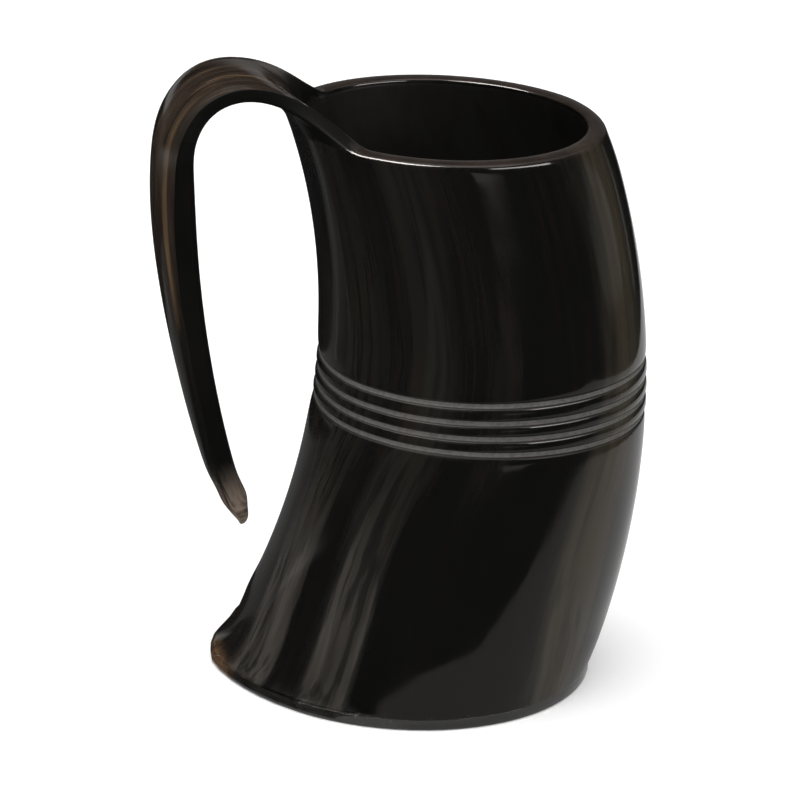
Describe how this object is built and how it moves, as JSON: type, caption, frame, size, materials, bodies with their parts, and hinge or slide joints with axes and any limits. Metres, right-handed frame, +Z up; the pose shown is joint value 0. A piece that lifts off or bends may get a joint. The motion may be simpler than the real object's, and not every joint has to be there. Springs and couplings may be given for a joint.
{
  "type": "horn drinking cup",
  "caption": "Curved drinking cup cut from one horn, its handle a tongue of the same horn that arches up from the rim and hangs free, with incised grooves and a glued foot plate.",
  "frame": {"origin": "on the underside of the foot plate, at the centre of the oval foot", "axes": "+Z up through the mouth, -X toward the handle, XZ is the plane of symmetry"},
  "size_m": [0.1293, 0.095, 0.1587],
  "materials": {
    "horn": "polished dark horn, nearly black, with brown and grey streaks along its growth",
    "foot": "polished dark horn plate, a little browner at its edge",
    "seal": "glossy amber resin bead"
  },
  "bodies": {
    "root": {"horn_body": "horn", "foot_plate": "foot", "foot_seal": "seal"}
  },
  "joints": []
}
